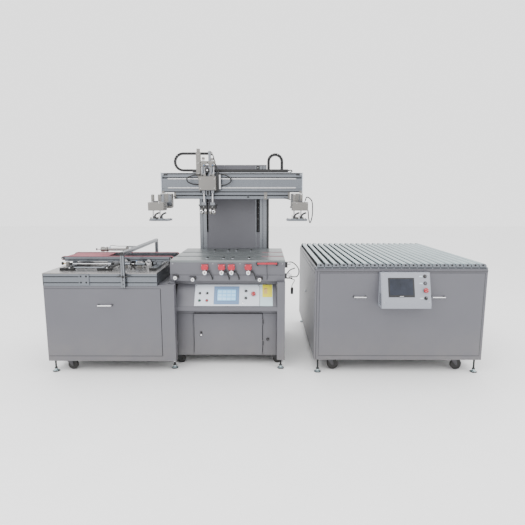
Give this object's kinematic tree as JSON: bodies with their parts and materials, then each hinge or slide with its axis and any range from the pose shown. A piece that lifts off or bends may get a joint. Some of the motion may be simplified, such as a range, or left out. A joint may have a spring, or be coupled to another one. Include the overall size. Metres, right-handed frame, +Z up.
{
  "type": "automatic flat-bed screen printing line",
  "caption": "Three-module flat screen printing line: belt infeed table, column printer with lifting beam and print head, and powered roller outfeed table.",
  "frame": {"origin": "the middle of the line's floor area, at floor level", "axes": "+X along the sheets' travel from infeed to outfeed, -Y towards the operator, +Z up"},
  "size_m": [3.78, 1.74, 1.987],
  "materials": {
    "paint": "satin powder coat, light grey",
    "aluminium": "satin anodised",
    "steel": "brushed and zinc plated",
    "white": "satin white",
    "red": "satin red",
    "green": "satin green",
    "black": "matt black",
    "belt": "matt red-brown belt",
    "rubber": "matt black rubber"
  },
  "bodies": {
    "line": {"infeed_cabinet": "paint", "infeed_top_frame": "aluminium", "infeed_top_plate": "steel", "infeed_conveyor": "aluminium", "infeed_belt_front": "belt", "infeed_belt_rear": "belt", "printer_base": "paint", "control_face": "white", "table_apron": "paint", "table_top": "steel", "column": "paint", "cable_arch": "black", "outfeed_cabinet": "paint", "roller_bed": "steel"},
    "infeed_panel": {"infeed_front_panel": "paint"},
    "portal": {"infeed_portal": "aluminium"},
    "pusher_rod": {"infeed_pusher_rod": "steel"},
    "infeed_wheel": {"infeed_wheel_left": "rubber"},
    "printer_wheel_left": {"printer_wheel_left": "rubber"},
    "printer_wheel_right": {"printer_wheel_right": "rubber"},
    "outfeed_wheel_left": {"outfeed_wheel_left": "rubber"},
    "outfeed_wheel_right": {"outfeed_wheel_right": "rubber"},
    "door": {"printer_door": "paint"},
    "gantry": {"gantry_carriage": "paint", "beam": "aluminium", "cable_chain": "black"},
    "print_head": {"print_head": "aluminium"},
    "flood_holder": {"flood_holder": "aluminium"},
    "squeegee_holder": {"squeegee_holder": "aluminium"},
    "clamp_arm_left": {"clamp_arm_left": "aluminium"},
    "clamp_arm_right": {"clamp_arm_right": "aluminium"},
    "clamp_jaw_left": {"clamp_jaw_left": "aluminium"},
    "clamp_jaw_right": {"clamp_jaw_right": "aluminium"},
    "outfeed_panel": {"outfeed_front_panel": "paint", "outfeed_console": "paint"},
    "outfeed_stop": {"outfeed_emergency_stop": "red"},
    "outfeed_selector": {"outfeed_selector": "black"},
    "outfeed_button_power": {"outfeed_button_power": "black"},
    "outfeed_button_run": {"outfeed_button_run": "paint"},
    "emergency_stop": {"emergency_stop": "red"},
    "button_start": {"button_start": "black"},
    "button_stop": {"button_stop": "black"},
    "button_vacuum": {"button_vacuum": "green"},
    "button_reset": {"button_reset": "red"},
    "selector_mode": {"selector_mode": "black"},
    "selector_light": {"selector_light": "black"},
    "adjuster_knob_1": {"adjuster_knob_1": "steel"},
    "adjuster_lever_1": {"adjuster_lever_1": "black"},
    "adjuster_knob_2": {"adjuster_knob_2": "steel"},
    "adjuster_lever_2": {"adjuster_lever_2": "black"},
    "adjuster_knob_3": {"adjuster_knob_3": "steel"},
    "adjuster_lever_3": {"adjuster_lever_3": "black"},
    "adjuster_knob_4": {"adjuster_knob_4": "steel"},
    "adjuster_lever_4": {"adjuster_lever_4": "black"},
    "roller_02": {"roller_02": "steel"},
    "roller_06": {"roller_06": "steel"},
    "roller_10": {"roller_10": "steel"},
    "roller_14": {"roller_14": "steel"},
    "roller_18": {"roller_18": "steel"},
    "roller_22": {"roller_22": "steel"}
  },
  "joints": [
    {"name": "infeed_panel_lift_off", "type": "slide", "parent": "line", "child": "infeed_panel", "axis": [0, -1, 0], "range_m": [0, 0.25]},
    {"name": "portal_slide", "type": "slide", "parent": "line", "child": "portal", "axis": [1, 0, 0], "range_m": [-0.3, 0.06]},
    {"name": "pusher_stroke", "type": "slide", "parent": "portal", "child": "pusher_rod", "axis": [-1, 0, 0], "range_m": [-0.015, 0.12]},
    {"name": "infeed_wheel_spin", "type": "hinge", "parent": "line", "child": "infeed_wheel", "pos_m": [-1.702, -0.66, 0.049], "axis": [0, 1, 0], "continuous": true},
    {"name": "printer_wheel_left_spin", "type": "hinge", "parent": "line", "child": "printer_wheel_left", "pos_m": [-0.761, -0.5, 0.041], "axis": [0, 1, 0], "continuous": true},
    {"name": "printer_wheel_right_spin", "type": "hinge", "parent": "line", "child": "printer_wheel_right", "pos_m": [0.125, -0.5, 0.041], "axis": [0, 1, 0], "continuous": true},
    {"name": "outfeed_wheel_left_spin", "type": "hinge", "parent": "line", "child": "outfeed_wheel_left", "pos_m": [0.613, -0.646, 0.054], "axis": [0, 1, 0], "continuous": true},
    {"name": "outfeed_wheel_right_spin", "type": "hinge", "parent": "line", "child": "outfeed_wheel_right", "pos_m": [1.712, -0.646, 0.054], "axis": [0, 1, 0], "continuous": true},
    {"name": "door_swing", "type": "hinge", "parent": "line", "child": "door", "pos_m": [-0.008, -0.5623, 0.3], "axis": [0, 0, 1], "range_deg": [0, 110]},
    {"name": "beam_lift", "type": "slide", "parent": "line", "child": "gantry", "axis": [0, 0, 1], "range_m": [-0.3, 0.02], "deforming": ["cable_arch"]},
    {"name": "head_stroke", "type": "slide", "parent": "gantry", "child": "print_head", "axis": [1, 0, 0], "range_m": [-0.1, 0.58], "deforming": ["cable_chain"]},
    {"name": "flood_press", "type": "slide", "parent": "print_head", "child": "flood_holder", "axis": [0, 0, 1], "range_m": [-0.06, 0]},
    {"name": "squeegee_press", "type": "slide", "parent": "print_head", "child": "squeegee_holder", "axis": [0, 0, 1], "range_m": [-0.06, 0]},
    {"name": "clamp_arm_left_slide", "type": "slide", "parent": "gantry", "child": "clamp_arm_left", "axis": [1, 0, 0], "range_m": [-0.03, 0.1]},
    {"name": "clamp_arm_right_slide", "type": "slide", "parent": "gantry", "child": "clamp_arm_right", "axis": [1, 0, 0], "range_m": [-0.1, 0.03]},
    {"name": "clamp_jaw_left_close", "type": "slide", "parent": "clamp_arm_left", "child": "clamp_jaw_left", "axis": [0, 0, 1], "range_m": [0, 0.05]},
    {"name": "clamp_jaw_right_close", "type": "slide", "parent": "clamp_arm_right", "child": "clamp_jaw_right", "axis": [0, 0, 1], "range_m": [0, 0.05]},
    {"name": "outfeed_panel_lift_off", "type": "slide", "parent": "line", "child": "outfeed_panel", "axis": [0, -1, 0], "range_m": [0, 0.2]},
    {"name": "emergency_stop_press", "type": "slide", "parent": "line", "child": "emergency_stop", "axis": [0, 0.8339, -0.5519], "range_m": [0, 0.005], "stiffness_N_per_m": 600, "springref_m": -0.001},
    {"name": "button_start_press", "type": "slide", "parent": "line", "child": "button_start", "axis": [0, 0.8339, -0.5519], "range_m": [0, 0.005], "stiffness_N_per_m": 600, "springref_m": -0.001},
    {"name": "button_stop_press", "type": "slide", "parent": "line", "child": "button_stop", "axis": [0, 0.8339, -0.5519], "range_m": [0, 0.005], "stiffness_N_per_m": 600, "springref_m": -0.001},
    {"name": "button_vacuum_press", "type": "slide", "parent": "line", "child": "button_vacuum", "axis": [0, 0.8339, -0.5519], "range_m": [0, 0.005], "stiffness_N_per_m": 600, "springref_m": -0.001},
    {"name": "button_reset_press", "type": "slide", "parent": "line", "child": "button_reset", "axis": [0, 0.8339, -0.5519], "range_m": [0, 0.005], "stiffness_N_per_m": 600, "springref_m": -0.001},
    {"name": "selector_mode_turn", "type": "hinge", "parent": "line", "child": "selector_mode", "pos_m": [-0.159, -0.56142, 0.69405], "axis": [0, 0.8339, -0.5519], "range_deg": [-45, 45]},
    {"name": "selector_light_turn", "type": "hinge", "parent": "line", "child": "selector_light", "pos_m": [-0.159, -0.59785, 0.63901], "axis": [0, 0.8339, -0.5519], "range_deg": [-45, 45]},
    {"name": "outfeed_button_power_press", "type": "slide", "parent": "outfeed_panel", "child": "outfeed_button_power", "axis": [0, 0.9542, -0.299], "range_m": [0, 0.005], "stiffness_N_per_m": 600, "springref_m": -0.001},
    {"name": "outfeed_button_run_press", "type": "slide", "parent": "outfeed_panel", "child": "outfeed_button_run", "axis": [0, 0.9542, -0.299], "range_m": [0, 0.005], "stiffness_N_per_m": 600, "springref_m": -0.001},
    {"name": "outfeed_stop_press", "type": "slide", "parent": "outfeed_panel", "child": "outfeed_stop", "axis": [0, 0.9542, -0.299], "range_m": [0, 0.005], "stiffness_N_per_m": 600, "springref_m": -0.001},
    {"name": "outfeed_selector_turn", "type": "hinge", "parent": "outfeed_panel", "child": "outfeed_selector", "pos_m": [1.338, -0.84985, 0.69962], "axis": [0, 0.9542, -0.299], "range_deg": [-45, 45]},
    {"name": "adjuster_knob_1_turn", "type": "hinge", "parent": "line", "child": "adjuster_knob_1", "pos_m": [-0.516, -0.62, 0.872], "axis": [0, 1, 0], "continuous": true},
    {"name": "adjuster_lever_1_turn", "type": "hinge", "parent": "line", "child": "adjuster_lever_1", "pos_m": [-0.48, -0.624, 0.88], "axis": [0, 1, 0], "range_deg": [0, 50]},
    {"name": "adjuster_knob_2_turn", "type": "hinge", "parent": "line", "child": "adjuster_knob_2", "pos_m": [-0.369, -0.62, 0.872], "axis": [0, 1, 0], "continuous": true},
    {"name": "adjuster_lever_2_turn", "type": "hinge", "parent": "line", "child": "adjuster_lever_2", "pos_m": [-0.333, -0.624, 0.88], "axis": [0, 1, 0], "range_deg": [0, 50]},
    {"name": "adjuster_knob_3_turn", "type": "hinge", "parent": "line", "child": "adjuster_knob_3", "pos_m": [-0.283, -0.62, 0.872], "axis": [0, 1, 0], "continuous": true},
    {"name": "adjuster_lever_3_turn", "type": "hinge", "parent": "line", "child": "adjuster_lever_3", "pos_m": [-0.247, -0.624, 0.88], "axis": [0, 1, 0], "range_deg": [0, 50]},
    {"name": "adjuster_knob_4_turn", "type": "hinge", "parent": "line", "child": "adjuster_knob_4", "pos_m": [-0.136, -0.62, 0.872], "axis": [0, 1, 0], "continuous": true},
    {"name": "adjuster_lever_4_turn", "type": "hinge", "parent": "line", "child": "adjuster_lever_4", "pos_m": [-0.1, -0.624, 0.88], "axis": [0, 1, 0], "range_deg": [0, 50]},
    {"name": "roller_02_spin", "type": "hinge", "parent": "line", "child": "roller_02", "pos_m": [0.545, 0.065, 0.957], "axis": [0, 1, 0], "continuous": true},
    {"name": "roller_06_spin", "type": "hinge", "parent": "line", "child": "roller_06", "pos_m": [0.805, 0.065, 0.957], "axis": [0, 1, 0], "continuous": true},
    {"name": "roller_10_spin", "type": "hinge", "parent": "line", "child": "roller_10", "pos_m": [1.065, 0.065, 0.957], "axis": [0, 1, 0], "continuous": true},
    {"name": "roller_14_spin", "type": "hinge", "parent": "line", "child": "roller_14", "pos_m": [1.325, 0.065, 0.957], "axis": [0, 1, 0], "continuous": true},
    {"name": "roller_18_spin", "type": "hinge", "parent": "line", "child": "roller_18", "pos_m": [1.585, 0.065, 0.957], "axis": [0, 1, 0], "continuous": true},
    {"name": "roller_22_spin", "type": "hinge", "parent": "line", "child": "roller_22", "pos_m": [1.845, 0.065, 0.957], "axis": [0, 1, 0], "continuous": true}
  ],
  "couplings": [
    {"joint": "roller_06_spin", "follows": "roller_02_spin", "ratio": 1},
    {"joint": "roller_10_spin", "follows": "roller_02_spin", "ratio": 1},
    {"joint": "roller_14_spin", "follows": "roller_02_spin", "ratio": 1},
    {"joint": "roller_18_spin", "follows": "roller_02_spin", "ratio": 1},
    {"joint": "roller_22_spin", "follows": "roller_02_spin", "ratio": 1}
  ]
}
